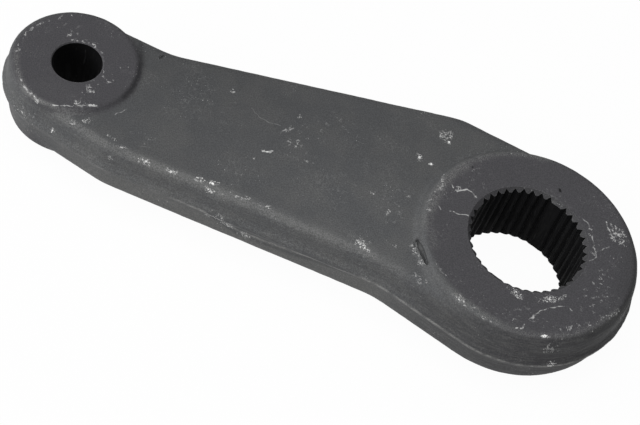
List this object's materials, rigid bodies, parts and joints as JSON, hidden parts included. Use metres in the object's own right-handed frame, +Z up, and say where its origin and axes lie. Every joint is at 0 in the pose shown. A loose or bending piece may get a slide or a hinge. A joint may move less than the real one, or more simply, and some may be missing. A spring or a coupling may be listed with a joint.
{
  "type": "pitman arm",
  "caption": "Forged steel steering arm: a large eye with a tapered serrated bore, a drafted web and a small eye with a tapered ball stud hole.",
  "frame": {"origin": "where the axis of the serrated bore meets the flat underside that the arm lies on", "axes": "+X from the serrated bore to the ball stud hole, +Z up out of the machined eye tops, along both bores"},
  "size_m": [0.2088, 0.0775, 0.0269],
  "materials": {
    "forged_steel": "forged steel with a dull dark grey phosphate coat"
  },
  "bodies": {
    "root": {"pitman_arm": "forged_steel"}
  },
  "joints": []
}
